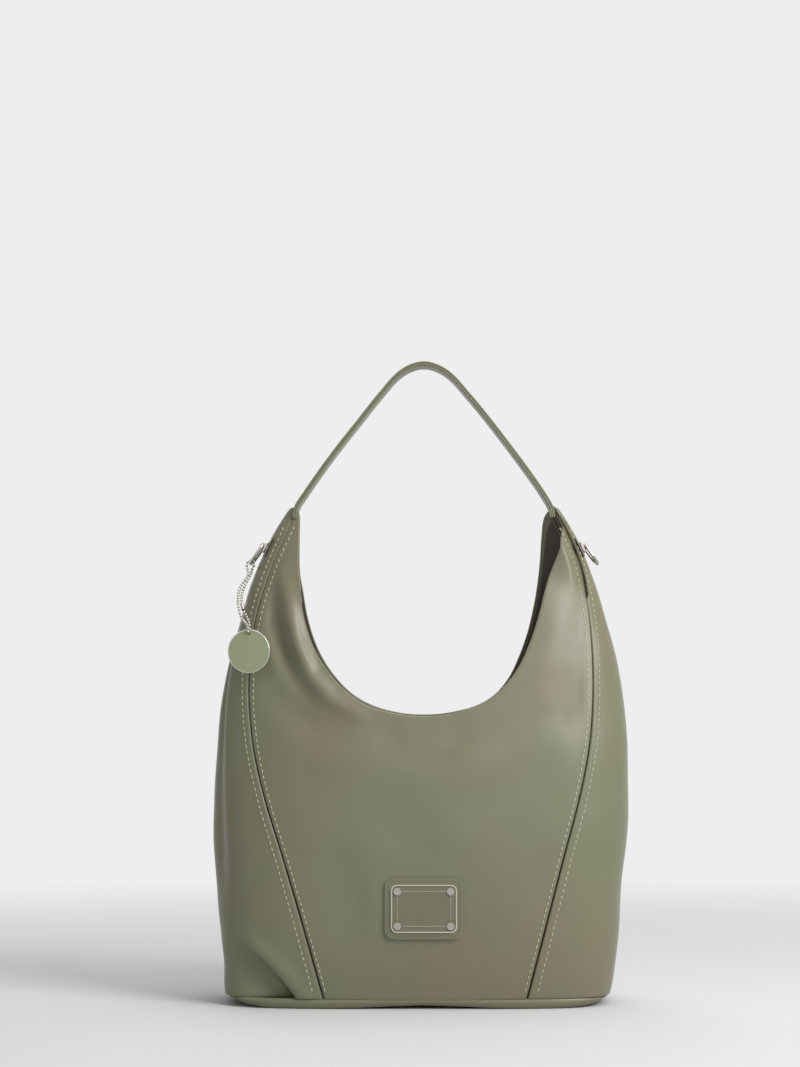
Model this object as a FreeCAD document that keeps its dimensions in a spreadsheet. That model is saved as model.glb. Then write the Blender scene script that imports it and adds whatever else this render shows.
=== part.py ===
"""Hobo bag: a soft shoulder bag in coated leather, standing upright on its base.

Frame: X runs across the bag, -Y is its front, +Z is up. The origin is the centre of the flat
underside. All sizes are millimetres and are driven by the spreadsheet "Dims".

The bag is built in layers that share one body form, a loft through rounded rectangles. Each layer
is the space between two insets of that form: the leather wall, the reinforcements behind it, the
lining and the slip pocket. Seam and mouth outlines, drawn in the front view, cut the layers into
the panels that are sewn together.
"""

import FreeCAD, Part
import math
import os

from FreeCAD import Placement, Rotation, Vector
import Sketcher

doc = FreeCAD.newDocument("HoboBag")

# ---------------------------------------------------------------- driving dimensions

# Body form: (height, half width, half depth, corner radius) of each cross-section
LEVELS = [
    (7, 151, 61, 34),
    (60, 160, 65, 42),
    (120, 165, 65.5, 47),
    (190, 166.5, 61.5, 48),
    (250, 161.5, 53, 42),
    (320, 144, 42, 28),
    (394, 108, 24, 10),
]

DIMS = {
    # layers, measured inwards from the form
    "wall": 1.4,
    "backing_out": 1.6,
    "backing_in": 2.7,
    "lining_out": 3.0,
    "lining_in": 3.8,
    "pocket_out": 4.0,
    "pocket_in": 4.8,
    # mouth, a deep scoop between the two peaks
    "mouth_low": 228,
    "mouth_half": 97.4,
    "mouth_straight": 336,
    "mouth_radius_low": 125,
    "mouth_radius_mid": 60,
    "mouth_radius_side": 140,
    "facing": 32,
    # seams between front or back panel and the gussets
    "seam_half": 132.5,
    "seam_height": 255,
    "seam_radius": 338,
    "seam_foot": 83,
    # base
    "base_floor": 1.6,
    "base_round": 5,
    "board_low": 1.8,
    "board_thick": 2.4,
    "lining_floor": 4.6,
    "lining_thick": 0.8,
    # handle
    "handle_width": 22,
    "under_in": -1.8,
    "under_out": -0.6,
    "core_out": 0.6,
    "top_out": 1.8,
    "handle_apex": 508,
    "handle_radius": 28,
    "handle_lean": 51.7,
    "handle_low": 394,
    "handle_pivot": 407,
    "handle_root": 11.4,
    "tab_in": 7.4,
    "tab_half": 11,
    "tab_low": 368,
    "tab_high": 393.5,
    # strap rings on the gussets
    "ring_height": 361.5,
    "ring_wire": 1.3,
    "ring_half": 8.3,
    "ring_corner": 2.6,
    "ring_side": 6.2,
    "backplate_half": 7,
    "bridge_corner": 1.5,
    "ring_lift": 9,
    "bridge_plate": 1.0,
    "bridge_sunk": 0.4,
    "bridge_half_wide": 8,
    "bridge_half_tall": 4.5,
    "bridge_axis": 2.6,
    "bridge_bore": 1.6,
    "bridge_outer": 2.6,
    "bridge_arch": 7,
    "screw_spacing": 5.9,
    "screw_shank": 0.8,
    "screw_head": 1.4,
    "screw_head_deep": 0.6,
    "play": 0.15,
    # badge
    "badge_height": 78.5,
    "patch_half_wide": 30.2,
    "patch_half_tall": 23.6,
    "patch_corner": 7.5,
    "patch_thick": 1.8,
    "patch_sunk": 0.3,
    "plate_half_wide": 25.3,
    "plate_half_tall": 18.4,
    "plate_corner": 4.6,
    "plate_thick": 1.4,
    "plate_rim": 0.9,
    "plate_recess": 0.5,
    "rivet_half_wide": 20.5,
    "rivet_half_tall": 13.4,
    "rivet_head": 2.95,
    "rivet_shank": 1.0,
    "rivet_tail": 2.7,
    "rivet_rise": 1.2,
    "washer_in": 2.6,
    "washer_out": 1.7,
    # hang tag and its ball chain
    "tag_radius": 17,
    "tag_thick": 1.6,
    "tag_hole": 1.75,
    "tag_hole_reach": 14.2,
    "tag_x": -136,
    "tag_height": 277,
    "tag_turn": 12,
    "tag_gap": 0.5,
    "bead": 1.1,
    "bead_pitch": 3.2,
    "link": 0.35,
    "connector": 1.5,
    "connector_end": 1.2,
    "ring_bight": 2.9,
    "tag_bight": 2.5,
    # magnetic snap
    "snap_height": 211,
    "snap_radius": 8.5,
    "snap_thick": 2.4,
    "snap_stud": 3.4,
    "snap_washer_out": 1.8,
    # planes beyond the bag, where the blocks that cut it end
    "far_wide": 200,
    "far_deep": 100,
    "far_high": 420,
    # slip pocket
    "pocket_half": 80,
    "pocket_low": 96,
    "pocket_high": 196,
}

LEVEL_NAMES = ("height", "width", "depth", "corner")


def make_sheet():
    """Puts every driving dimension in the spreadsheet, one row each, with its alias."""
    table = doc.addObject("Spreadsheet::Sheet", "Dims")
    rows = dict(DIMS)
    for number, level in enumerate(LEVELS, start=1):
        for name, value in zip(LEVEL_NAMES, level):
            rows[f"{name}_{number}"] = value
    for row, (alias, value) in enumerate(rows.items(), start=1):
        table.set(f"A{row}", alias.replace("_", " "))
        table.set(f"B{row}", str(value))
        table.setAlias(f"B{row}", alias)
    doc.recompute()
    return table


sheet = make_sheet()


def dim(alias):
    """A driving dimension's value, for geometry worked out in code."""
    return float(sheet.get(alias))


# ---------------------------------------------------------------- helpers


def new_body(name):
    body = doc.addObject("PartDesign::Body", name)
    body.Label = name
    return body


def new_sketch(body, role, lift=None):
    """A sketch on one of the body's own origin planes, lifted off it by an expression."""
    sketch = body.newObject("Sketcher::SketchObject", body.Name + "_sketch")
    plane = next(f for f in body.Origin.OriginFeatures if f.Role == role)
    sketch.AttachmentSupport = [(plane, "")]
    sketch.MapMode = "FlatFace"
    if lift:
        sketch.setExpression("AttachmentOffset.Base.z", lift)
    return sketch


def bind(sketch, kind, where, name, expression, value):
    """Adds a named dimension to a sketch and ties it to the spreadsheet."""
    index = sketch.addConstraint(Sketcher.Constraint(kind, *where, value))
    sketch.renameConstraint(index, name)
    sketch.setExpression(f"Constraints.{name}", expression)


def value_of(expression):
    """The present value of an expression made of Dims aliases, numbers, + and -."""
    total, sign = 0.0, 1
    for word in expression.replace("Dims.", "").split():
        if word in "+-":
            sign = 1 if word == "+" else -1
        else:
            number = word.replace(".", "").isdigit()
            total += sign * (float(word) if number else dim(word))
    return total


def line(x0, y0, x1, y1):
    return Part.LineSegment(Vector(x0, y0, 0), Vector(x1, y1, 0))


def arc(x, y, radius, start_deg, end_deg):
    circle = Part.Circle(Vector(x, y, 0), Vector(0, 0, 1), radius)
    return Part.ArcOfCircle(circle, math.radians(start_deg), math.radians(end_deg))


def rounded_rectangle(sketch, wide, deep, corner):
    """A rounded rectangle about the sketch's origin. The arguments are expressions for the half
    width, the half depth and the corner radius."""
    w, d, r = value_of(wide), value_of(deep), value_of(corner)
    sides = [
        line(-w + r, -d, w - r, -d),
        line(w, -d + r, w, d - r),
        line(w - r, d, -w + r, d),
        line(-w, d - r, -w, -d + r),
    ]
    corners = [
        arc(w - r, -d + r, r, -90, 0),
        arc(w - r, d - r, r, 0, 90),
        arc(-w + r, d - r, r, 90, 180),
        arc(-w + r, -d + r, r, 180, 270),
    ]
    for side, corner_arc in zip(sides, corners):
        sketch.addGeometry([side, corner_arc], False)
    rules = []
    for k in range(4):
        side, corner_arc, following = 2 * k, 2 * k + 1, (2 * k + 2) % 8
        rules.append(Sketcher.Constraint("Tangent", side, 2, corner_arc, 1))
        rules.append(Sketcher.Constraint("Tangent", corner_arc, 2, following, 1))
    rules.append(Sketcher.Constraint("Horizontal", 4))
    rules.append(Sketcher.Constraint("Vertical", 6))
    for corner_arc in (3, 5, 7):
        rules.append(Sketcher.Constraint("Equal", 1, corner_arc))
    rules.append(Sketcher.Constraint("Symmetric", 0, 1, 0, 2, -2))
    rules.append(Sketcher.Constraint("Symmetric", 2, 1, 2, 2, -1))
    sketch.addConstraint(rules)
    bind(sketch, "DistanceX", (-1, 1, 2, 1), "half_width", wide, w)
    bind(sketch, "DistanceY", (-1, 1, 4, 1), "half_depth", deep, d)
    bind(sketch, "Radius", (1,), "corner", corner, r)


def circle_at(sketch, x, y, radius, across=None, up=None):
    """A circle with a bound radius. Its centre is bound too where expressions are given."""
    at = Vector(x, y, 0)
    index = sketch.addGeometry(Part.Circle(at, Vector(0, 0, 1), value_of(radius)), False)
    if across is None:
        sketch.addConstraint(Sketcher.Constraint("PointOnObject", index, 3, -2))
    else:
        first, last = ((-1, 1), (index, 3)) if x > 0 else ((index, 3), (-1, 1))
        bind(sketch, "DistanceX", (*first, *last), f"across_{index}", across, abs(x))
    if up is None:
        sketch.addConstraint(Sketcher.Constraint("PointOnObject", index, 3, -1))
    else:
        first, last = ((-1, 1), (index, 3)) if y > 0 else ((index, 3), (-1, 1))
        bind(sketch, "DistanceY", (*first, *last), f"up_{index}", up, abs(y))
    bind(sketch, "Radius", (index,), f"radius_{index}", radius, value_of(radius))
    return index


def pad(body, sketch, length, both_ways=False, backwards=False):
    feature = body.newObject("PartDesign::Pad", body.Name + "_pad")
    feature.Profile = sketch
    feature.setExpression("Length", length)
    feature.Midplane = both_ways
    feature.Reversed = backwards
    return feature


def pocket(body, sketch, length=None, both_ways=False, backwards=False):
    """A pocket of a bound depth, or right through if no length is given."""
    doc.recompute()
    before = body.Shape.Volume
    feature = body.newObject("PartDesign::Pocket", body.Name + "_pocket")
    feature.Profile = sketch
    if length:
        feature.setExpression("Length", length)
    else:
        feature.Type = "ThroughAll"
    feature.Midplane = both_ways
    feature.Reversed = backwards
    doc.recompute()
    if not body.Shape.Volume < before:
        raise ValueError(f"{body.Label}: the pocket cut nothing")
    return feature


def boolean(kind, name, *shapes):
    """Part::Cut of two objects, or Part::MultiCommon or Part::MultiFuse of any number."""
    feature = doc.addObject(kind, name)
    feature.Label = name
    if kind == "Part::Cut":
        feature.Base, feature.Tool = shapes
    else:
        feature.Shapes = list(shapes)
    return feature


def block(name, x0, x1, y0, y1, z0, z1):
    """A plain box between two corners given as expressions."""
    box = doc.addObject("Part::Box", name)
    box.setExpression("Length", f"({x1}) - ({x0})")
    box.setExpression("Width", f"({y1}) - ({y0})")
    box.setExpression("Height", f"({z1}) - ({z0})")
    box.setExpression("Placement.Base.x", x0)
    box.setExpression("Placement.Base.y", y0)
    box.setExpression("Placement.Base.z", z0)
    return box


# ---------------------------------------------------------------- layers of the body form


def form_sections(body, inset):
    """One rounded rectangle for each level, drawn in by the inset."""
    sections = []
    for number in range(1, len(LEVELS) + 1):
        sketch = new_sketch(body, "XY_Plane", f"Dims.height_{number}")
        expressions = [f"Dims.{name}_{number} - {inset}" for name in LEVEL_NAMES[1:]]
        rounded_rectangle(sketch, *expressions)
        sections.append(sketch)
    return sections


def layer(name, outer, inner):
    """The hollow layer of the form between two insets, with the mouth scooped out of it."""
    body = new_body(name)
    for kind, inset in (("Additive", outer), ("Subtractive", inner)):
        sections = form_sections(body, inset)
        loft = body.newObject(f"PartDesign::{kind}Loft", f"{name}_{kind}")
        loft.Profile = sections[0]
        loft.Sections = sections[1:]
        doc.recompute()
    mouth = new_sketch(body, "XZ_Plane")
    mouth_outline(mouth, "0")
    pocket(body, mouth, both_ways=True)
    return body


def mouth_outline(sketch, grow):
    """The scoop in the front view: a wide arc at the bottom, a tight one and a long one up each
    side, then straight up past the peaks. Grow moves the whole outline outwards."""
    g = value_of(grow)
    low, half, straight = dim("mouth_low"), dim("mouth_half"), dim("mouth_straight")
    r0, r1, r2 = (dim(f"mouth_radius_{n}") for n in ("low", "mid", "side"))
    a0, a1 = math.radians(22), math.radians(58)
    x1, z1 = (r0 - r1) * math.sin(a0), low + r0 - (r0 - r1) * math.cos(a0)
    x2, z2 = x1 - (r2 - r1) * math.sin(a1), z1 + (r2 - r1) * math.cos(a1)
    top = dim("far_high")
    deg0, deg1 = math.degrees(a0), math.degrees(a1)
    sketch.addGeometry(
        [
            arc(0, low + r0, r0 + g, -90 - deg0, -90 + deg0),
            arc(x1, z1, r1 + g, -90 + deg0, -90 + deg1),
            arc(x2, z2, r2 + g, -90 + deg1, 0),
            line(half + g, straight, half + g, top),
            line(half + g, top, -half - g, top),
            line(-half - g, top, -half - g, straight),
            arc(-x2, z2, r2 + g, 180, 270 - deg1),
            arc(-x1, z1, r1 + g, 270 - deg1, 270 - deg0),
        ],
        False,
    )
    rules = [
        Sketcher.Constraint("Tangent", 0, 2, 1, 1),
        Sketcher.Constraint("Tangent", 1, 2, 2, 1),
        Sketcher.Constraint("Tangent", 2, 2, 3, 1),
        Sketcher.Constraint("Coincident", 3, 2, 4, 1),
        Sketcher.Constraint("Coincident", 4, 2, 5, 1),
        Sketcher.Constraint("Tangent", 5, 2, 6, 1),
        Sketcher.Constraint("Tangent", 6, 2, 7, 1),
        Sketcher.Constraint("Tangent", 7, 2, 0, 1),
        Sketcher.Constraint("Vertical", 3),
        Sketcher.Constraint("Vertical", 5),
        Sketcher.Constraint("Horizontal", 4),
        Sketcher.Constraint("PointOnObject", 0, 3, -2),
        Sketcher.Constraint("Equal", 1, 7),
        Sketcher.Constraint("Equal", 2, 6),
        Sketcher.Constraint("Symmetric", 3, 1, 5, 2, -2),
        Sketcher.Constraint("DistanceY", -1, 1, 4, 1, top),
    ]
    sketch.addConstraint(rules)
    more = "" if grow == "0" else f" + {grow}"
    bind(sketch, "Radius", (0,), "low_radius", "Dims.mouth_radius_low" + more, r0 + g)
    bind(sketch, "Radius", (1,), "mid_radius", "Dims.mouth_radius_mid" + more, r1 + g)
    bind(sketch, "Radius", (2,), "side_radius", "Dims.mouth_radius_side" + more, r2 + g)
    bind(sketch, "DistanceX", (-1, 1, 3, 1), "half", "Dims.mouth_half" + more, half + g)
    bind(sketch, "DistanceY", (-1, 1, 3, 1), "straight", "Dims.mouth_straight", straight)
    centre = "Dims.mouth_low + Dims.mouth_radius_low"
    bind(sketch, "DistanceY", (-1, 1, 0, 3), "low_centre", centre, low + r0)


def seam_outline(sketch):
    """The front panel in the front view: straight seams that splay upwards from the base, then
    one long arc on each side that leans back in to the peak."""
    half, high, radius = dim("seam_half"), dim("seam_height"), dim("seam_radius")
    foot, top = dim("seam_foot"), dim("far_high")
    cx = half - radius
    reach = math.hypot(foot - cx, high)
    lean = math.degrees(math.atan2(-high, foot - cx) + math.acos(radius / reach))
    end = math.degrees(math.asin((top - high) / radius))
    tx = cx + radius * math.cos(math.radians(lean))
    tz = high + radius * math.sin(math.radians(lean))
    ex = cx + radius * math.cos(math.radians(end))
    sketch.addGeometry(
        [
            line(-foot, 0, foot, 0),
            line(foot, 0, tx, tz),
            arc(cx, high, radius, lean, end),
            line(ex, top, -ex, top),
            arc(-cx, high, radius, 180 - end, 180 - lean),
            line(-tx, tz, -foot, 0),
        ],
        False,
    )
    rules = [
        Sketcher.Constraint("Coincident", 0, 2, 1, 1),
        Sketcher.Constraint("Tangent", 1, 2, 2, 1),
        Sketcher.Constraint("Coincident", 2, 2, 3, 1),
        Sketcher.Constraint("Coincident", 3, 2, 4, 1),
        Sketcher.Constraint("Tangent", 4, 2, 5, 1),
        Sketcher.Constraint("Coincident", 5, 2, 0, 1),
        Sketcher.Constraint("PointOnObject", 0, 1, -1),
        Sketcher.Constraint("Symmetric", 0, 1, 0, 2, -2),
        Sketcher.Constraint("Horizontal", 3),
        Sketcher.Constraint("Symmetric", 2, 3, 4, 3, -2),
        Sketcher.Constraint("Equal", 2, 4),
        Sketcher.Constraint("DistanceY", -1, 1, 3, 1, top),
    ]
    sketch.addConstraint(rules)
    bind(sketch, "DistanceX", (-1, 1, 0, 2), "foot", "Dims.seam_foot", foot)
    bind(sketch, "Radius", (2,), "radius", "Dims.seam_radius", radius)
    bind(sketch, "DistanceY", (-1, 1, 2, 3), "height", "Dims.seam_height", high)
    offset = "Dims.seam_radius - Dims.seam_half"
    bind(sketch, "DistanceX", (2, 3, -1, 1), "half", offset, radius - half)


def prism(name, outline, *settings):
    """A tall block with an outline in the front view, from the middle plane to the front
    (-Y) and, as a second block, to the back (+Y)."""
    blocks = []
    for side, backwards in (("front", False), ("back", True)):
        body = new_body(f"{name}_{side}")
        sketch = new_sketch(body, "XZ_Plane")
        outline(sketch, *settings)
        pad(body, sketch, "Dims.far_deep", backwards=backwards)
        blocks.append(body)
    return blocks


wall_layer = layer("wall_layer", "0", "Dims.wall")
backing_layer = layer("backing_layer", "Dims.backing_out", "Dims.backing_in")
lining_layer = layer("lining_layer", "Dims.lining_out", "Dims.lining_in")
pocket_layer = layer("pocket_layer", "Dims.pocket_out", "Dims.pocket_in")
panel_front, panel_back = prism("panel_block", seam_outline)
mouth_front, mouth_back = prism("mouth_block", mouth_outline, "Dims.facing")
doc.recompute()


def surface_x(z, inset=0.0):
    """The form's half width on its side, at y = 0 and a height."""
    ray = Part.makeLine(Vector(0, 0, z), Vector(300, 0, z))
    hit = ray.common(wall_layer.Shape)
    return max(v.X for v in hit.Vertexes) - inset


def surface_y(z, inset=0.0):
    """The form's half depth on its front, at x = 0 and a height."""
    ray = Part.makeLine(Vector(0, 0, z), Vector(0, -200, z))
    hit = ray.common(wall_layer.Shape)
    return max(-v.Y for v in hit.Vertexes) - inset


# ---------------------------------------------------------------- outer panels

front_sheet = boolean("Part::MultiCommon", "front_panel_cut", wall_layer, panel_front)
back_panel = boolean("Part::MultiCommon", "back_panel", wall_layer, panel_back)
without_front = boolean("Part::Cut", "walls_without_front", wall_layer, panel_front)
gusset_walls = boolean("Part::Cut", "gusset_walls", without_front, panel_back)
left_half = block("left_half", "-Dims.far_wide", "0", "-Dims.far_deep", "Dims.far_deep", "0", "Dims.far_high")
right_half = block("right_half", "0", "Dims.far_wide", "-Dims.far_deep", "Dims.far_deep", "0", "Dims.far_high")
left_gusset_sheet = boolean("Part::MultiCommon", "left_gusset_cut", gusset_walls, left_half)
right_gusset_sheet = boolean("Part::MultiCommon", "right_gusset_cut", gusset_walls, right_half)

# ---------------------------------------------------------------- facing, lining, pocket

front_facing = boolean("Part::MultiCommon", "front_facing_cut", lining_layer, mouth_front)
back_facing = boolean("Part::MultiCommon", "back_facing_cut", lining_layer, mouth_back)
lower_front = boolean("Part::Cut", "lining_without_front_facing", lining_layer, mouth_front)
lower_lining = boolean("Part::Cut", "lining_without_facings", lower_front, mouth_back)
front_side = block("front_side", "-Dims.far_wide", "Dims.far_wide", "-Dims.far_deep", "0", "0", "Dims.far_high")
back_side = block("back_side", "-Dims.far_wide", "Dims.far_wide", "0", "Dims.far_deep", "0", "Dims.far_high")
front_lining = boolean("Part::MultiCommon", "front_lining", lower_lining, front_side)
back_lining = boolean("Part::MultiCommon", "back_lining", lower_lining, back_side)
pocket_block = block(
    "pocket_block",
    "-Dims.pocket_half",
    "Dims.pocket_half",
    "0",
    "Dims.far_deep",
    "Dims.pocket_low",
    "Dims.pocket_high",
)
slip_pocket = boolean("Part::MultiCommon", "slip_pocket", pocket_layer, pocket_block)

# ---------------------------------------------------------------- base


def base_panel():
    """The leather base: a shallow tray whose rounded rim is sewn to the wall."""
    body = new_body("base_panel")
    outline = new_sketch(body, "XY_Plane")
    rounded_rectangle(outline, "Dims.width_1", "Dims.depth_1", "Dims.corner_1")
    solid = pad(body, outline, "Dims.height_1")
    doc.recompute()
    bottom = [f"Edge{i}" for i, e in enumerate(solid.Shape.Edges, 1) if e.BoundBox.ZMax < 0.01]
    rim = body.newObject("PartDesign::Fillet", "base_rim")
    rim.Base = (solid, bottom)
    rim.setExpression("Radius", "Dims.base_round")
    doc.recompute()
    hollow = new_sketch(body, "XY_Plane", "Dims.base_floor")
    rounded_rectangle(hollow, *(f"Dims.{n}_1 - Dims.wall" for n in LEVEL_NAMES[1:]))
    # The pocket starts above the floor and clears the tray upwards
    pocket(body, hollow, "Dims.height_1", backwards=True)
    return body


def flat_sheet(name, inset, low, thickness):
    """A flat piece in the base's outline, drawn in by an inset."""
    body = new_body(name)
    outline = new_sketch(body, "XY_Plane", low)
    rounded_rectangle(outline, *(f"Dims.{n}_1 - {inset}" for n in LEVEL_NAMES[1:]))
    pad(body, outline, thickness)
    return body


base = base_panel()
board = flat_sheet("base_board", "5", "Dims.board_low", "Dims.board_thick")
lining_base = flat_sheet("base_lining", "Dims.lining_out", "Dims.lining_floor", "Dims.lining_thick")

# ---------------------------------------------------------------- handle


def handle_band(name, inner, outer):
    """One layer of the handle: an arch of straight legs and a round apex between two offsets
    from the handle's middle line, as wide as the strap."""
    body = new_body(name)
    sketch = new_sketch(body, "XZ_Plane")
    mid, low = dim("handle_radius"), dim("handle_low")
    centre, lean = dim("handle_apex") - mid, math.radians(dim("handle_lean"))
    r_in, r_out = mid + value_of(inner), mid + value_of(outer)

    def leg(radius):
        """Where a leg leaves its arc, and its foot."""
        tx, tz = radius * math.sin(lean), centre + radius * math.cos(lean)
        return (tx, tz), (tx + (tz - low) / math.tan(lean), low)

    (ox, oz), (fx, _) = leg(r_out)
    (ix, iz), (gx, _) = leg(r_in)
    sweep = dim("handle_lean")
    sketch.addGeometry(
        [
            line(fx, low, ox, oz),
            arc(0, centre, r_out, 90 - sweep, 90 + sweep),
            line(-ox, oz, -fx, low),
            line(-fx, low, -gx, low),
            line(-gx, low, -ix, iz),
            arc(0, centre, r_in, 90 - sweep, 90 + sweep),
            line(ix, iz, gx, low),
            line(gx, low, fx, low),
        ],
        False,
    )
    sketch.addConstraint(
        [
            Sketcher.Constraint("Tangent", 0, 2, 1, 1),
            Sketcher.Constraint("Tangent", 1, 2, 2, 1),
            Sketcher.Constraint("Coincident", 2, 2, 3, 1),
            Sketcher.Constraint("Coincident", 3, 2, 4, 1),
            Sketcher.Constraint("Tangent", 4, 2, 5, 2),
            Sketcher.Constraint("Tangent", 5, 1, 6, 1),
            Sketcher.Constraint("Coincident", 6, 2, 7, 1),
            Sketcher.Constraint("Coincident", 7, 2, 0, 1),
            Sketcher.Constraint("PointOnObject", 1, 3, -2),
            Sketcher.Constraint("Coincident", 5, 3, 1, 3),
            Sketcher.Constraint("Horizontal", 7),
            Sketcher.Constraint("Parallel", 6, 0),
            Sketcher.Constraint("Symmetric", 0, 1, 2, 2, -2),
            Sketcher.Constraint("Symmetric", 6, 2, 4, 1, -2),
        ]
    )
    centre_at = "Dims.handle_apex - Dims.handle_radius"
    bind(sketch, "DistanceY", (-1, 1, 1, 3), "centre", centre_at, centre)
    bind(sketch, "Radius", (1,), "outer", f"Dims.handle_radius + {outer}", r_out)
    bind(sketch, "Radius", (5,), "inner", f"Dims.handle_radius + {inner}", r_in)
    bind(sketch, "DistanceY", (-1, 1, 6, 2), "low", "Dims.handle_low", low)
    bind(sketch, "Angle", (0,), "lean", "180 deg - Dims.handle_lean * 1 deg", math.pi - lean)
    pad(body, sketch, "Dims.handle_width", both_ways=True)
    return body


def handle_space():
    """The room that the handle keeps to: everything above its pivot, and a round barrel about
    the pivot, so that its feet clear the peaks while it turns."""
    across = ("-Dims.far_wide", "Dims.far_wide", "-Dims.far_deep", "Dims.far_deep")
    above = block("above_pivot", *across, "Dims.handle_pivot", "Dims.far_high * 1.5")
    barrel = doc.addObject("Part::Cylinder", "pivot_barrel")
    barrel.setExpression("Radius", "Dims.handle_root")
    barrel.Height = 400
    barrel.Placement.Rotation = Rotation(Vector(0, 1, 0), 90)
    barrel.Placement.Base.x = -200
    barrel.setExpression("Placement.Base.z", "Dims.handle_pivot")
    return boolean("Part::MultiFuse", "handle_space", above, barrel)


space = handle_space()
handle_layers = [
    ("handle_under_ply", "Dims.under_in", "Dims.under_out"),
    ("handle_core", "Dims.under_out", "Dims.core_out"),
    ("handle_top_ply", "Dims.core_out", "Dims.top_out"),
]
for layer_name, inner, outer in handle_layers:
    band = handle_band(layer_name + "_band", inner, outer)
    boolean("Part::MultiCommon", layer_name, band, space)

# The strap's ends, sewn down inside the two peaks against the gussets
tab_layer = layer("tab_layer", "Dims.lining_in", "Dims.tab_in")
tab_zone = ("-Dims.tab_half", "Dims.tab_half", "Dims.tab_low", "Dims.tab_high")
for side, x0, x1 in (("left", "-Dims.far_wide", "0"), ("right", "0", "Dims.far_wide")):
    zone = block(side + "_tab_zone", x0, x1, *tab_zone)
    boolean("Part::MultiCommon", side + "_handle_tab", tab_layer, zone)

# ---------------------------------------------------------------- places on the form

HEADINGS = {"right": 0, "back": 90, "left": 180, "front": -90}


def seat(side, z, inset=0.0):
    """A placement on the middle of a side of the form: local X points out of the leather and
    local Z runs up along it. The inset moves it in from the surface."""
    reach = surface_x if side in ("left", "right") else surface_y
    slope = math.degrees(math.atan2(reach(z - 3) - reach(z + 3), 6))
    turn = Rotation(Vector(0, 0, 1), HEADINGS[side]) * Rotation(Vector(0, 1, 0), -slope)
    foot = Rotation(Vector(0, 0, 1), HEADINGS[side]).multVec(Vector(reach(z), 0, z))
    return Placement(foot + turn.multVec(Vector(-inset, 0, 0)), turn)


OUTWARDS = Placement(Vector(), Rotation(Vector(0, 1, 0), 90))


def post(name, radius, start, end, place, y=0.0, z=0.0):
    """A round post square to the leather, between two distances out of the surface."""
    cylinder = doc.addObject("Part::Cylinder", name)
    cylinder.setExpression("Radius", radius)
    cylinder.Height = end - start
    cylinder.Placement = place * Placement(Vector(start, y, z), Rotation()) * OUTWARDS
    return cylinder


# ---------------------------------------------------------------- strap rings


def ring_bridge(side, place):
    """The small arch that the ring hangs from, in one piece with its plate."""
    body = new_body(side + "_ring_bridge")
    plate = new_sketch(body, "YZ_Plane", "-Dims.bridge_sunk")
    rounded_rectangle(plate, "Dims.bridge_half_wide", "Dims.bridge_half_tall", "Dims.bridge_corner")
    pad(body, plate, "Dims.bridge_plate + Dims.bridge_sunk")
    arch = new_sketch(body, "XZ_Plane")
    circle_at(arch, dim("bridge_axis"), 0, "Dims.bridge_outer", across="Dims.bridge_axis")
    pad(body, arch, "Dims.bridge_arch", both_ways=True)
    bore = new_sketch(body, "XZ_Plane")
    circle_at(bore, dim("bridge_axis"), 0, "Dims.bridge_bore", across="Dims.bridge_axis")
    pocket(body, bore, both_ways=True)
    holes = new_sketch(body, "YZ_Plane", "Dims.bridge_plate")
    for sign in (-1, 1):
        spacing = sign * dim("screw_spacing")
        circle_at(holes, spacing, 0, "Dims.screw_shank + Dims.play", across="Dims.screw_spacing")
    pocket(body, holes)
    sinks = new_sketch(body, "YZ_Plane", "Dims.bridge_plate")
    for sign in (-1, 1):
        spacing = sign * dim("screw_spacing")
        circle_at(sinks, spacing, 0, "Dims.screw_head + Dims.play", across="Dims.screw_spacing")
    pocket(body, sinks, "Dims.screw_head_deep")
    body.Placement = place
    return body


def d_ring(side, place):
    """A wire ring: a straight bar in the bridge, two short sides and a half-round bow."""
    body = new_body(side + "_d_ring")
    path = new_sketch(body, "YZ_Plane")
    half, bend, side_run = dim("ring_half"), dim("ring_corner"), dim("ring_side")
    low = -bend - side_run
    path.addGeometry(
        [
            line(0, 0, half - bend, 0),
            arc(half - bend, -bend, bend, 0, 90),
            line(half, -bend, half, low),
            arc(0, low, half, 180, 360),
            line(-half, low, -half, -bend),
            arc(-half + bend, -bend, bend, 90, 180),
            line(-half + bend, 0, 0, 0),
        ],
        False,
    )
    path.addConstraint(
        [
            Sketcher.Constraint("Coincident", 0, 1, -1, 1),
            Sketcher.Constraint("Horizontal", 0),
            Sketcher.Constraint("Tangent", 0, 2, 1, 2),
            Sketcher.Constraint("Tangent", 1, 1, 2, 1),
            Sketcher.Constraint("Vertical", 2),
            Sketcher.Constraint("Tangent", 2, 2, 3, 2),
            Sketcher.Constraint("Tangent", 3, 1, 4, 1),
            Sketcher.Constraint("Tangent", 4, 2, 5, 2),
            Sketcher.Constraint("Tangent", 5, 1, 6, 1),
            Sketcher.Constraint("Coincident", 6, 2, 0, 1),
            Sketcher.Constraint("Equal", 1, 5),
            Sketcher.Constraint("PointOnObject", 3, 3, -2),
        ]
    )
    bind(path, "Radius", (1,), "bend", "Dims.ring_corner", bend)
    bind(path, "Radius", (3,), "bow", "Dims.ring_half", half)
    bind(path, "DistanceY", (2, 2, 2, 1), "side", "Dims.ring_side", side_run)
    wire = new_sketch(body, "XZ_Plane")
    circle_at(wire, 0, 0, "Dims.ring_wire")
    sweep = body.newObject("PartDesign::AdditivePipe", side + "_ring_sweep")
    sweep.Profile = wire
    sweep.Spine = path
    lift = Rotation(Vector(0, 1, 0), -dim("ring_lift"))
    body.Placement = place * Placement(Vector(dim("bridge_axis"), 0, 0), lift)
    return body


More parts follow.
